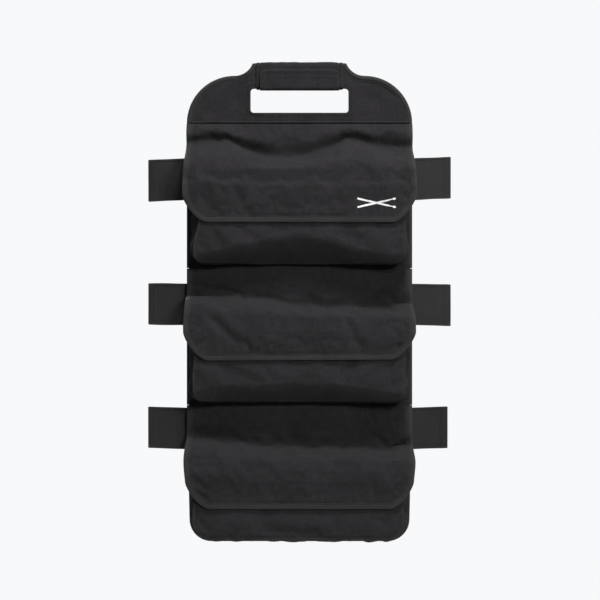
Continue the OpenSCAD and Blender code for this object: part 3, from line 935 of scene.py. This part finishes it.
# A flap's middle surface is depth in front (knots) against the drop below its seam. The valley
# under the seam wanders, and its drop across the flap is the second list. home is the drop in
# knots that the valley lies at, and below fold the valley has no more effect.
FLAPS = [
    dict(
        home=41, fold=92,
        knots=[(0, -5.6), (8, -10.5), (18, -15.5), (28, -16.5), (37, -11), (44, -8.5), (50, -12), (61, -34),
               (72, -52), (82, -61.5), (100, -62.6), (108, -63.4), (113, -68), (122, -67.5), (145, -65.5),
               (165, -63.5), (181, -62.6)],
        valley=[(-205, 32), (-173, 27), (-136, 28), (-90, 46), (-54, 56), (-17, 58), (19, 51), (56, 38), (83, 27),
                (111, 27), (147, 37), (184, 41), (205, 41)],
        creases=[((-136, 112), (184, 110), 1.3, 4), ((-160, 100), (120, 98), 1.5, 9),
                 ((-200, 104), (-140, 110), -2.0, 9), ((-185, 128), (-150, 165), 2.0, 9),
                 ((-120, 118), (-100, 150), 1.8, 10),
                 ((178, 100), (205, 118), 1.8, 6),
                 ((95, 118), (120, 150), 1.4, 12), ((-190, 66), (-120, 58), -1.6, 8), ((-170, 22), (-140, 36), 2.4, 7),
                 ((84, 20), (66, 44), 2.2, 8), ((140, 30), (190, 62), 1.8, 10), ((-60, 60), (60, 66), -1.4, 12)],
        sag=[(-190, 1.5), (-100, -0.5), (0, -1.0), (100, 1.8), (190, 1.5)]),
    dict(
        home=58, fold=96,
        knots=[(0, -5.6), (10, -8.2), (24, -10.8), (36, -10.8), (47, -8.2), (58, -6.4), (63, -11), (69, -33), (76, -53),
               (83, -61.5), (96, -64), (112, -67.3), (122, -67.3), (145, -64.5), (164, -62.6)],
        valley=[(-205, 30), (-110, 49), (0, 65), (73, 70), (205, 73)],
        creases=[((-170, 82), (-105, 140), 2.6, 9), ((-150, 74), (-90, 130), -1.8, 10), ((80, 88), (112, 150), 1.8, 10),
                 ((205, 84), (150, 100), 2.2, 7), ((120, 30), (195, 14), 1.8, 7), ((150, 150), (186, 138), 2.6, 5),
                 ((-195, 148), (-165, 128), 1.8, 6), ((-100, 128), (-82, 158), 2.0, 7), ((-60, 84), (60, 90), -1.2, 9),
                 ((-190, 46), (-120, 56), 1.2, 8)],
        sag=[(-190, 3.0), (-100, 0.5), (0, 0), (110, 1.5), (190, 0.5)]),
    dict(
        home=70, fold=103,
        knots=[(0, -5.6), (12, -8.6), (27, -11), (40, -11), (56, -8.2), (68, -6.2), (75, -9), (80, -32), (87, -52),
               (94, -61.5), (108, -65), (120, -67.5), (132, -67.5), (160, -64.3), (183, -62.6)],
        valley=[(-205, 50), (-137, 62), (-64, 71), (9, 75), (73, 77), (205, 79)],
        creases=[((205, 62), (150, 96), 3.0, 7), ((205, 82), (166, 100), 2.2, 5), ((-60, 112), (185, 114), -1.4, 6),
                 ((-200, 120), (-165, 150), 2.0, 8), ((-190, 150), (-160, 168), 2.2, 6),
                 ((120, 122), (140, 165), 1.6, 9),
                 ((190, 130), (160, 165), 2.4, 7), ((-208, 96), (-150, 92), 1.8, 8), ((-90, 120), (-110, 160), -1.4, 9),
                 ((-60, 100), (-100, 125), 1.5, 9)],
        sag=[(-190, 0.5), (-140, -1.5), (-90, 0.5), (0, 0.5), (110, -1.5), (190, 0.0)]),
]


CREASE_DEPTH, CREASE_WIDTH = 1.35, 0.9  # on every crease of a flap
PROFILES = [soft_line(f["knots"], 3.2) for f in FLAPS]


def clear_of_pocket(i, x, z, y):
    """Keeps a flap in front of the pocket's front and of its slanted sides."""
    drop, mouth = SEAM[i] - z, SEAM[i] - MOUTH[i]
    start = SIDE_TOP[i] - 6
    side = np.maximum(-(drop - start) * 58 / (mouth - start - 4) - 3, FLAP_LIMIT)
    near_side = smooth_step(np.abs(x), 162, 182) * smooth_step(drop, start - 4, start + 6)
    near_front = smooth_step(drop, mouth - 7, mouth - 2)
    y = y + near_side * np.minimum(side - y, 0) + (1 - near_side) * near_front * np.minimum(FLAP_LIMIT - y, 0)
    if i > 0:
        y = np.maximum(y, LIFTED_LIMIT - 70 * smooth_step(drop, 51, 57))
    return y


def flap_y(i, x, z):
    shape = FLAPS[i]
    drop = SEAM[i] - z
    home, fold = shape["home"], shape["fold"]
    at = eased(x, shape["valley"], 12)
    q = np.where(drop < at, drop * home / at,
                 np.where(drop < fold, home + (drop - at) * (fold - home) / (fold - at), drop))
    y = PROFILES[i](q)
    for (ax, a_drop), (bx, b_drop), depth, width in shape["creases"]:
        y = y + crease(x, -drop, (ax, -a_drop), (bx, -b_drop), CREASE_DEPTH * depth, CREASE_WIDTH * width)
    calm = smooth_step(drop, 4, 30) * (1 if i == 0 else 0.45 + 0.55 * smooth_step(drop, 45, 62))
    y = y + calm * (1.1 * waves(x, z, 200 + i, 9, 45, 140) + 0.3 * waves(x, z, 210 + i, 10, 16, 42))
    return clear_of_pocket(i, x, z, y)


def flap_right(i, d):
    """The right half of a flap's outline, from the middle of its lower edge up to the seam."""
    foot = SEAM[i] - FLAP_LEN[i]
    a = np.radians(np.linspace(-90, 0, 19))
    flat_arc = np.abs(np.cos(a)) ** CORNER_POWER, np.abs(np.sin(a)) ** CORNER_POWER
    corner = np.stack([FLAP_HALF - CORNER_X + (CORNER_X - d) * flat_arc[0],
                       foot + CORNER_Z - (CORNER_Z - d) * flat_arc[1]], 1)
    z = np.linspace(foot + CORNER_Z + 6, SEAM[i] - (1.0 if d < 5 else 0), 14)
    side = np.stack([FLAP_HALF - d - 4.0 * smooth_step(z, SEAM[i] - 112, SEAM[i] - 45), z], 1)
    right = np.vstack([corner, side])
    narrower = 1 - smooth_step(right[:, 1], SEAM[i] - 150, SEAM[i] - 85)
    right[:, 0] -= (0, 1.5, 5.0)[i] * narrower + (0, 1.0, 1.0)[i]
    return right


def flap_edge(i, d):
    """The flap's free edge, from its left end at the seam round to its right end."""
    right = flap_right(i, d)
    line = np.vstack([(right * [-1, 1])[::-1], right])
    sag = np.interp(line[:, 0], *np.array(FLAPS[i]["sag"], float).T)
    low_part = 1 - smooth_step(line[:, 1], SEAM[i] - FLAP_LEN[i], SEAM[i] - FLAP_LEN[i] + 60)
    line[:, 1] -= sag * low_part
    return line


def flap_run(i):
    """How far down the cloth each drop below the seam is."""
    d = np.arange(-5, 220, 0.5)
    step = np.sqrt(1 + np.gradient(PROFILES[i](d), d) ** 2) * 0.5
    run = np.cumsum(step)
    return lambda q: np.interp(q, d, run - run[10])


FLAP_FACE = []  # each finished flap's y at (x, z)

for i, t in enumerate(TIERS):
    smooth_height = lambda x, z, i=i: flap_y(i, x, z)
    edge = spaced(flap_edge(i, EDGE), 3.6)
    flat, faces = cut_plate(edge, 3.8)
    x, z = flat.T
    in_by, along = near(edge, flat)
    pucker = 0.6 * np.exp(-((in_by - 16) / 6) ** 2) * smooth_step(in_by, 10, 14)
    pucker *= waves(along, 0 * x, 220 + i, 7, 10, 26) * smooth_step(SEAM[i] - z, 5, 40)
    skin = np.stack([x, smooth_height(x, z) + pucker, z], 1)
    held = (in_by < 12.5) | (z > SEAM[i] - 6)
    lo, hi = low(f"{t}_flap_hook_tape"), high(f"{t}_flap_hook_tape")
    middle = (lo[2] + hi[2]) / 2
    backed = (np.abs(x) < hi[0]) & (z > lo[2]) & (z < hi[2])
    held |= backed & (np.abs(x) > hi[0] - 5) | backed & (np.abs(z - middle) > 12)
    skin = settled(skin, faces, held, 0.013, 3.2)
    skin[:, 1] = clear_of_pocket(i, skin[:, 0], skin[:, 2], skin[:, 1]) - 0.6 * backed
    height = surface_of(skin, faces)
    FLAP_FACE.append(height)
    run = flap_run(i)
    flap = shell(f"flap_{t}", skin, faces, 1.8, np.stack([x, -run(SEAM[i] - z)], 1), CLOTH,
                 wear=0.25 * np.exp(-in_by / 6))

    line2 = spaced(flap_edge(i, 0.0), 3.6)
    line, out, normal = surface_frame(smooth_height, line2)
    band = sweep(f"flap_binding_{t}", line, out, normal, tape_section(1.55), TAPE, vary=tape_vary(len(line2), 240 + i),
                 wear=BINDING_WEAR)
    sewn = line - out * (BIND - 2.3)
    patch = rounded_patch(hi[0], lo[2], hi[2], 2, 3)
    ring2 = corners_kept(patch * [1 - 2 / hi[0], 1], 3)
    ring2[:, 1] = middle + (ring2[:, 1] - middle) * 0.9
    ring2 = ended(ring2)
    face = surface_frame(smooth_height, ring2)[2]
    ring = lift2(ring2, height(*ring2.T))
    thread = stitches(f"flap_thread_{t}", [(sewn + normal * 1.25, normal), (sewn - normal * 1.25, -normal),
                                           (ring + face * 0.95, face)])
    bodies = (f"{t}_flap_root", f"{t}_flap_face")
    for piece in (flap, band, thread):
        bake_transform(piece)
    dress(flap, None, "panel_fabric", f"{t}_flap_top", f"{t}_flap_front")
    dress(band, None, "binding", f"{t}_flap_top_binding", f"{t}_flap_front_binding")

    flat, faces = cut_plate(patch, 3.5)
    x, z = flat.T
    skin = np.stack([x, height(x, z) + 1.45 + 0.05 * waves(x, z, 250 + i, 6, 8, 30), z], 1)
    tape = shell(f"flap_hook_tape_{t}", skin, faces, 1.0, flat, HOOK)
    dress(tape, bodies[1], "hook_tape", f"{t}_flap_hook_tape")
    float(run(FLAP_LEN[i])) * MM

    # The sewn line that the flap hangs from: at the top a turned edge, below it the panel's fold
    seam_x = np.linspace(-HALF + 4, HALF - 4, 130)
    if i == 0:
        rows_z = np.array([0.9, 1.3, 2.0, 3.2, 4.2, 4.6])
        rows_y = np.array([-4.2, -5.3, -5.6, -5.5, -5.0, -4.0])
        sewing_x, sewing_y, sewing_z = seam_x * 0.93, -5.85, 2.5
    else:
        rows_z = np.array([-7.5, -6.5, -3.0, 0.0, 3.0, 7.0, 8.0])
        rows_y = np.array([-3.4, -3.9, -4.6, -5.0, -4.7, -4.1, -3.5])
        sewing_x, sewing_y, sewing_z = seam_x, -5.1, 4.4
    sx, sk = np.meshgrid(seam_x, np.arange(len(rows_z)), indexing="ij")
    points = np.stack([sx, rows_y[sk] + 0.14 * waves(sx, sk * 3.0, 260 + i, 6, 14, 60),
                       SEAM[i] + rows_z[sk] + 0.25 * waves(sx, 0 * sx, 270 + i, 4, 40, 120)], 2).reshape(-1, 3)
    strip = shell(f"flap_seam_{t}", points, grid_faces(len(seam_x), len(rows_z)), 0.9, points[:, [0, 2]], CLOTH,
                  wear=np.tile(np.where(np.abs(rows_z) < 2, 0.1, 0.0), len(seam_x)))
    row = np.stack([sewing_x, np.full(len(seam_x), SEAM[i] + sewing_z)], 1)
    sewing = stitches(f"flap_seam_thread_{t}", [(lift2(row, sewing_y), AHEAD)])
    dress(strip, t if i == 0 else None, "panel_fabric")
    if i == 0:
        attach(sewing, t)
        continue
    behind = np.array([(-7.5, 3.0), (-6.0, 3.45), (-2.0, 3.5), (0, 3.35), (2.0, 3.5), (6.0, 3.45), (7.5, 3.0)])
    sx, sk = np.meshgrid(seam_x, np.arange(len(behind)), indexing="ij")
    points = np.stack([sx, behind[sk, 1] + 0.08 * waves(sx, sk * 3.0, 280 + i, 6, 14, 60),
                       SEAM[i] + behind[sk, 0]], 2).reshape(-1, 3)
    faces = grid_faces(len(seam_x), len(behind))[:, ::-1]
    fold = shell(f"fold_back_{t}", points, faces, 0.7, points[:, [0, 2]], LINING)
    rows = [(lift2(np.stack([seam_x, np.full(len(seam_x), SEAM[i] + k)], 1), 3.85), BEHIND) for k in (-4.6, 4.6)]
    for piece in (strip, sewing, dress(fold, None, "lining"), stitches(f"fold_back_thread_{t}", rows)):
        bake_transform(piece)

# ---- Print ----------------------------------------------------------------------------------

lo, hi = low("flap_print"), high("flap_print")
print_at = np.array([(lo[0] + hi[0]) / 2, (lo[2] + hi[2]) / 2])
stick = np.array([(-35, -1.7), (18, -1.55), (26, -0.9), (29.4, -0.7), (30.6, -1.9), (33, -2.2), (35, -1.2), (35.6, 0),
                  (35, 1.2), (33, 2.2), (30.6, 1.9), (29.4, 0.7), (26, 0.9), (18, 1.55), (-35, 1.7), (-35.7, 0)])
for k, lean in (("a", 13), ("b", -13)):  # degrees
    c, s = math.cos(math.radians(lean)), math.sin(math.radians(lean))
    shape = stick @ np.array([[c, s], [-s, c]]) + print_at
    flat, faces = cut_plate(shape, 1.3)
    x, z = flat.T
    points, _, normal = surface_frame(FLAP_FACE[0], flat)
    piece = shell(f"print_stick_{k}", points + normal * (1.0 if k == "a" else 1.06), faces, 0.3, flat, INK)
    dress(piece, "upper_flap_face", "print", *(["flap_print"] if k == "a" else []))

# ---- Side straps ----------------------------------------------------------------------------

for i, t in enumerate(TIERS):
    for side, sign in SIDES:
        node = f"{t}_{side}_strap"
        lo, hi = low(node), high(node)
        reach, mid = abs(hi[0] if sign > 0 else lo[0]), (lo[2] + hi[2]) / 2
        reach -= 7 if (i, sign) == (2, 1) else 0
        seed = 300 + i * 10 + (sign > 0)
        tilt = [(-1.2, 1.6), (0.4, -0.8), (1.0, 1.5)][i][sign > 0]
        u = np.concatenate([np.linspace(203.5, reach - 14, 26), np.linspace(reach - 12.6, reach, 9)])
        across = np.linspace(-1, 1, 31)
        gx, gs = np.meshgrid(u, across, indexing="ij")
        out_by = gx - STRAP_ROOT
        wide = STRAP_HALF + 0.25 * waves(gx, 0 * gx, seed, 4, 25, 80) - 0.5 * np.exp(-((reach - gx) / 1.2) ** 2)
        curl = [(1.5, 1.0), (1.3, 1.6), (0.4, -2.0)][i][sign > 0] * MM
        y = -0.2 + 0.9 * waves(gx, gs * 30, seed + 1, 5, 60, 160) * smooth_step(out_by, 4, 30) + curl * out_by ** 2
        y = y - 0.5 * smooth_step(np.abs(gs), 0.9, 0.97)
        points = np.stack([sign * gx, y, mid + gs * wide + tilt * out_by / 35], 2).reshape(-1, 3)
        folded = 0.8 * smooth_step(gx, reach - 14, reach - 12.6)
        thick = 1.5 + folded.reshape(-1)
        faces = grid_faces(len(u), len(across))
        normal = point_normals(points, faces)
        normal *= np.sign(-normal[:, 1:2].mean())
        if normal[len(normal) // 2] @ AHEAD < 0:
            normal = -normal
        if sign > 0:
            faces = faces[:, ::-1]
        skin_a, skin_b = points + normal * thick[:, None] / 2, points - normal * thick[:, None] / 2
        solid, all_faces = closed_skin(skin_a, skin_b, faces)
        # closed_skin's first skin is the outer one, so its faces must look ahead
        a, b, c = solid[list(all_faces[0][:3])]
        if np.cross(b - a, c - a) @ AHEAD < 0:
            all_faces = [f[::-1] for f in all_faces]
        uv = np.stack([gs.ravel() * STRAP_HALF, gx.ravel()], 1)
        edge_wear = 0.7 * np.exp(-((1 - np.abs(gs.ravel())) * STRAP_HALF / 1.5))
        edge_wear += 0.6 * np.exp(-(reach - gx.ravel()) / 1.5)
        strap = make(node.replace("_strap", "_strap_web"), solid, all_faces, np.vstack([uv, uv]), WEB,
                     wear=np.concatenate([edge_wear] * 2))

        def on_strap(a, s, lift):
            b = a - STRAP_ROOT
            yy = -0.2 + 0.9 * waves(a, s * 30, seed + 1, 5, 60, 160) * smooth_step(b, 4, 30) + curl * b ** 2
            zz = mid + s * STRAP_HALF + tilt * b / 35
            return np.stack([sign * a, yy + lift, zz], 1)

        a = np.linspace(213, reach - 3.5, 22)
        box_line = [on_strap(a, np.full(22, k), -1.0) for k in (-0.9, 0.9)]
        for far in (reach - 3.5, reach - 11):
            box_line.append(on_strap(np.full(22, far), np.linspace(-0.9, 0.9, 22), -1.25))
        thread = stitches(node.replace("_strap", "_strap_thread"), [(p, AHEAD) for p in box_line])
        for piece in (strap, thread):
            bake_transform(piece)
        dress(strap, None, "strap_web", node)
        hook_lo, hook_hi = low(f"{node}_hook"), high(f"{node}_hook")
        a0, a1 = sorted(abs(v) for v in (hook_lo[0], hook_hi[0]))
        hu, hs = np.meshgrid(np.linspace(a0 + 4, min(a1, reach - 5), 16), np.linspace(-0.86, 0.86, 18), indexing="ij")
        points = on_strap(hu.ravel(), hs.ravel(), 1.45)
        faces = grid_faces(16, 18)
        if sign < 0:
            faces = faces[:, ::-1]
        hook = shell(node.replace("_strap", "_strap_hook_tape"), points, faces, 0.9,
                     np.stack([hu.ravel(), hs.ravel() * STRAP_HALF], 1), HOOK)
        dress(hook, node, "hook_tape", f"{node}_hook")

# ---- Loop tapes on the back -----------------------------------------------------------------

for i, t in enumerate(TIERS):
    lo, hi = low(f"{t}_strap_loops"), high(f"{t}_strap_loops")
    mid, tall = (lo[2] + hi[2]) / 2, (hi[2] - lo[2]) / 2
    runs = []
    for side, sign in SIDES:
        x0, x1 = 132.0, hi[0]
        cx, wide, r = (x0 + x1) / 2, (x1 - x0) / 2, 3
        patch = both_sides([arc(wide - r, r - tall, r, -90, 0, 4), arc(wide - r, tall - r, r, 0, 90, 4)])
        flat, faces = cut_plate(patch, 3.2)
        flat = flat + [sign * cx, mid]
        x, z = flat.T
        base = panel_back_y(i, x, z)
        points = np.stack([x, np.maximum(base, 3.0) + 0.5 + 0.1 * waves(x, z, 400 + i, 8, 7, 25), z], 1)
        tape = shell(f"back_loop_tape_{t}_{side}", points, faces[:, ::-1], 1.1, flat, LOOP)
        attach(tape, t)
        if sign < 0:
            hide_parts(f"{t}_strap_loops")
        ring = corners_kept(patch * [0.9, 0.91], 3) + [sign * cx, mid]
        ring = np.vstack([ring, ring[:1]])
        runs.append((lift2(ring, 4.65), BEHIND))
    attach(stitches(f"back_loop_thread_{t}", runs), t)

# ---- Grip -----------------------------------------------------------------------------------


def grip_ring(grow):
    """The sleeve's cross section, anticlockwise in (y, z), from the middle of its rear face."""
    half, r = GRIP_T + grow, GRIP_T - 1 + grow
    lo, hi = -grow, GRIP_H + grow
    loop = np.vstack([arc(half - r, hi - r, r, 0, 90, 6), arc(r - half, hi - r, r, 90, 180, 6),
                      arc(r - half, lo + r, r, 180, 270, 6), arc(half - r, lo + r, r, 270, 360, 6)])
    return spaced(loop, 2.2, True)


ring = grip_ring(-0.6)
ring_out = np.stack([np.roll(ring[:, 1], -1) - np.roll(ring[:, 1], 1),
                     np.roll(ring[:, 0], 1) - np.roll(ring[:, 0], -1)], 1)
ring_out /= np.linalg.norm(ring_out, axis=1, keepdims=True)
ring_run = np.arange(len(ring)) * 2.2
u = np.concatenate([np.linspace(-GRIP_HALF, -GRIP_HALF + 9, 8), np.linspace(-GRIP_HALF + 11, GRIP_HALF - 11, 64),
                    np.linspace(GRIP_HALF - 9, GRIP_HALF, 8)])
gu, gr = np.meshgrid(u, ring_run, indexing="ij")
to_end = GRIP_HALF - np.abs(gu)
puff = 0.75 * smooth_step(to_end, 7, 24) - 0.9 * np.exp(-((to_end - 6.5) / 1.3) ** 2) - 0.9 * np.exp(-to_end / 0.9)
puff += 0.35 * waves(gu, gr, 500, 7, 14, 50) * smooth_step(to_end, 3, 12)
puff += 0.22 * np.exp(-((to_end - 9) / 6) ** 2) * waves(gr, 0 * gr, 501, 5, 5, 12)
points = np.stack([gu, ring[None, :, 0] + ring_out[None, :, 0] * puff, ring[None, :, 1] + ring_out[None, :, 1] * puff],
                  2).reshape(-1, 3)
n, m = len(u), len(ring)
faces = [(i * m + k, i * m + (k + 1) % m, (i + 1) * m + (k + 1) % m, (i + 1) * m + k)
         for i in range(n - 1) for k in range(m)]
faces += [tuple(range(m))[::-1], tuple((n - 1) * m + k for k in range(m))]
sleeve = make("grip_sleeve", points, faces, np.stack([gu.ravel(), gr.ravel()], 1), CLOTH,
              wear=0.6 * np.exp(-to_end.ravel() / 1.5))
dress(sleeve, "upper", "sleeve", "handle_sleeve", "handle_padding")
runs = []
for x in (-GRIP_HALF + 5.6, GRIP_HALF - 5.6):
    loop = np.stack([np.full(m + 1, x), np.append(ring[:, 0], ring[0, 0]), np.append(ring[:, 1], ring[0, 1])], 1)
    face = np.stack([0 * loop[:, 0], np.append(ring_out[:, 0], ring_out[0, 0]),
                     np.append(ring_out[:, 1], ring_out[0, 1])], 1)
    runs.append((loop - face * 0.4, face))
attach(stitches("grip_thread", runs), "upper")

lo, hi = low("handle_loop_tape"), high("handle_loop_tape")
gx, gz = (g.ravel() for g in np.meshgrid(np.linspace(lo[0], hi[0], 34), np.linspace(lo[2], hi[2], 8), indexing="ij"))
tape = shell("grip_loop_tape", np.stack([gx, -GRIP_T - 0.45 + 0.08 * waves(gx, gz, 505, 6, 8, 30), gz], 1),
             grid_faces(34, 8), 0.8, np.stack([gx, gz], 1), LOOP)
dress(tape, "upper", "loop_tape", "handle_loop_tape")

# The flap that closes round the grip, as cloth laid along this path of (y, z)
WRAP_PATH = np.array([(-3.6, -0.75), (-6.5, -0.75), (-8.6, -0.35), (-10.0, 0.9), (-10.6, 3.0), (-10.75, 6), (-10.9, 20),
                      (-10.75, 40)])
wrap_run = np.concatenate([[0], np.cumsum(np.linalg.norm(np.diff(WRAP_PATH, axis=0), axis=1))])
wrap_to = float(np.interp(36.2, WRAP_PATH[:, 1], wrap_run))


def on_wrap(x, s, lift=0.0):
    y, z = np.interp(s, wrap_run, WRAP_PATH[:, 0]), np.interp(s, wrap_run, WRAP_PATH[:, 1])
    loose = smooth_step(s, 8, 20)
    y = y - lift - 0.8 * smooth_step(np.abs(x), WRAP_HALF - 9, WRAP_HALF - 8)
    y = y - 1.1 * np.exp(-((s - wrap_to + 3.6) / 2.6) ** 2)
    y = y - loose * 0.35 * waves(x, s, 510, 6, 22, 70)
    return np.stack([x, y, z], 1)


WRAP_HALF = high("handle_wrap")[0] - 0.3
s_top = np.linspace(-WRAP_HALF + 8, WRAP_HALF - 8, 16)
top = np.vstack([arc(WRAP_HALF - 9, wrap_to - 9, 9, 0, 90, 8),
                 np.stack([s_top[::-1][1:-1], wrap_to + 1.2 * np.cos(math.pi * s_top[1:-1] / 150)], 1),
                 arc(-WRAP_HALF + 12, wrap_to - 12, 12, 90, 180, 8)])
outline = np.vstack([[[-WRAP_HALF, 0], [WRAP_HALF, 0]], top])
flat, faces = cut_plate(outline, 2.6)
x, s = flat.T
rim = near(outline, flat, True)[0]
wrap = shell("grip_wrap", on_wrap(x, s), faces, 1.3, flat, CLOTH, wear=0.7 * np.exp(-rim / 1.6) * smooth_step(s, 6, 12))
ring2 = corners_kept(np.array([[-53, 9.0], [62, 9.0], [62, 27.5], [-53, 27.5]]), 3)
ring2 = np.vstack([ring2, ring2[:1]])
hem_s = np.linspace(7, wrap_to - 4, 14)
runs = [(on_wrap(*ring2.T, lift=0.75), AHEAD)]
runs += [(on_wrap(np.full(14, k), hem_s, lift=0.8), AHEAD) for k in (-WRAP_HALF + 2.5, WRAP_HALF - 2.5)]
edge_x = np.linspace(-WRAP_HALF + 9, WRAP_HALF - 9, 50)
runs.append((on_wrap(edge_x, np.full(50, wrap_to - 2.6), lift=0.7), AHEAD))
thread = stitches("grip_wrap_thread", runs, pitch=3.6)
for piece in (wrap, thread):
    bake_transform(piece)
dress(wrap, None, "sleeve", "handle_wrap")
lo, hi = low("handle_wrap_hook_tape"), high("handle_wrap_hook_tape")
gx, gz = (g.ravel() for g in np.meshgrid(np.linspace(lo[0], hi[0], 34), np.linspace(lo[2], hi[2], 8), indexing="ij"))
hook = shell("grip_wrap_hook_tape", np.stack([gx, np.full(len(gx), -9.65), gz], 1), grid_faces(34, 8), 0.8,
             np.stack([gx, gz], 1), HOOK)
dress(hook, "handle_wrap", "hook_tape", "handle_wrap_hook_tape")

# Edge of the hand slot, turned in and sewn
loop = spaced(slot_loop(), 2.5, True)
t = tangents(loop, True)
out = np.stack([-t[:, 1], 0 * t[:, 0], t[:, 0]], 1)
section = [(-3.2, 0.8), (-3.0, 1.0), (-1.0, 1.05), (0.1, 0.92), (0.5, 0.5), (0.5, -0.5), (0.1, -0.92), (-1.0, -1.05),
           (-3.0, -1.0), (-3.2, -0.8)]
piece = sweep("slot_edge", lift2(loop, -0.2), out, np.tile(AHEAD, (len(loop), 1)), [(a, b * 3.7) for a, b in section],
              CLOTH, closed=True, vary=tape_vary(len(loop), 520), wear=[0.1, 0.2, 0.2, 0.6, 1, 1, 0.6, 0.2, 0.2, 0.1])
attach(piece, "upper")
loop = spaced(slot_loop(5.2), 3, True)
loop = np.vstack([loop, loop[:1]])
runs = [(lift2(loop, panel_front_y(0, *loop.T) - 0.35), AHEAD), (lift2(loop, panel_back_y(0, *loop.T) + 0.3), BEHIND)]
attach(stitches("slot_thread", runs), "upper")
